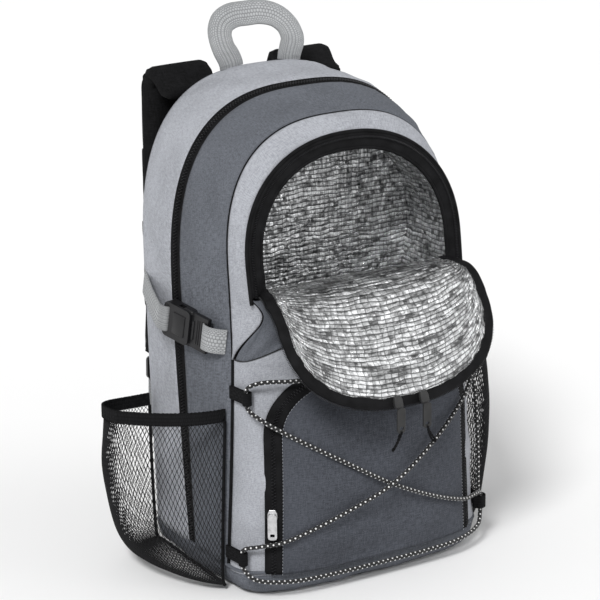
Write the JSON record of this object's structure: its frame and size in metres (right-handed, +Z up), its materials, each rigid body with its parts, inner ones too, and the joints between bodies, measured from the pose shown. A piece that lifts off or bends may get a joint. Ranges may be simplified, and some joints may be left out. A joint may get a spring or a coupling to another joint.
{
  "type": "backpack",
  "caption": "Small day backpack with an open foil-lined cooler, zipped front pocket, mesh side pockets, laced elastic cord and side-release straps.",
  "frame": {"origin": "on the floor under the middle of the body's base", "axes": "+Z up, the cooler and the front pocket face -Y, the shoulder straps are on +Y, +X is the bag's right in a view of its front"},
  "size_m": [0.4166, 0.3237, 0.5125],
  "materials": {
    "light_cloth": "matt heathered woven polyester",
    "dark_cloth": "matt heathered woven polyester",
    "pocket_cloth": "matt heathered woven polyester",
    "black_cloth": "matt padded cloth",
    "black_tape": "matt woven tape and zip",
    "grey_webbing": "ribbed woven webbing",
    "foil": "bright metallised film",
    "netting": "knitted net",
    "buckle_plastic": "satin moulded",
    "zinc": "satin plated die casting",
    "elastic": "braided elastic cord"
  },
  "bodies": {
    "bag": {"base_panel": "dark_cloth", "back_panel": "black_cloth", "rear_gusset": "light_cloth", "main_zip": "black_tape", "main_gusset": "dark_cloth", "front_piping": "black_tape", "cooler_gusset": "light_cloth", "lower_front_panel": "light_cloth", "upper_front_panel": "dark_cloth", "cooler_liner": "foil", "cooler_zip_frame": "black_tape", "flap_panel": "foil", "flap_binding": "black_tape", "pocket_zip": "black_tape", "front_pocket": "pocket_cloth", "haul_loop": "grey_webbing", "bungee_cord": "elastic", "pocket_slider": "zinc", "cooler_left_slider": "zinc", "cooler_right_slider": "zinc", "mesh_pocket_left": "netting", "pocket_hem_left": "black_tape", "buckle_socket_left": "buckle_plastic", "buckle_prong_left": "buckle_plastic", "strap_rear_left": "grey_webbing", "strap_front_left": "grey_webbing", "upper_tab_left": "black_tape", "lower_tab_left": "black_tape", "shoulder_strap_left": "black_cloth", "ladder_lock_left": "buckle_plastic", "lower_webbing_left": "grey_webbing", "mesh_pocket_right": "netting", "pocket_hem_right": "black_tape", "buckle_socket_right": "buckle_plastic", "buckle_prong_right": "buckle_plastic", "strap_rear_right": "grey_webbing", "strap_front_right": "grey_webbing", "upper_tab_right": "black_tape", "lower_tab_right": "black_tape", "shoulder_strap_right": "black_cloth", "ladder_lock_right": "buckle_plastic", "lower_webbing_right": "grey_webbing"},
    "pocket_puller": {"pocket_puller": "zinc"},
    "cooler_left_puller": {"cooler_left_puller": "zinc"},
    "cooler_right_puller": {"cooler_right_puller": "zinc"}
  },
  "joints": [
    {"name": "pocket_puller_swing", "type": "hinge", "parent": "bag", "child": "pocket_puller", "pos_m": [-0.1101, -0.10029, 0.0852], "axis": [-0.8087, 0.5882, 0], "range_deg": [0, 150]},
    {"name": "cooler_left_puller_swing", "type": "hinge", "parent": "bag", "child": "cooler_left_puller", "pos_m": [-0.014, -0.16879, 0.19036], "axis": [-1, 0, 0], "range_deg": [0, 150]},
    {"name": "cooler_right_puller_swing", "type": "hinge", "parent": "bag", "child": "cooler_right_puller", "pos_m": [0.014, -0.16879, 0.19036], "axis": [-1, 0, 0], "range_deg": [0, 150]}
  ]
}
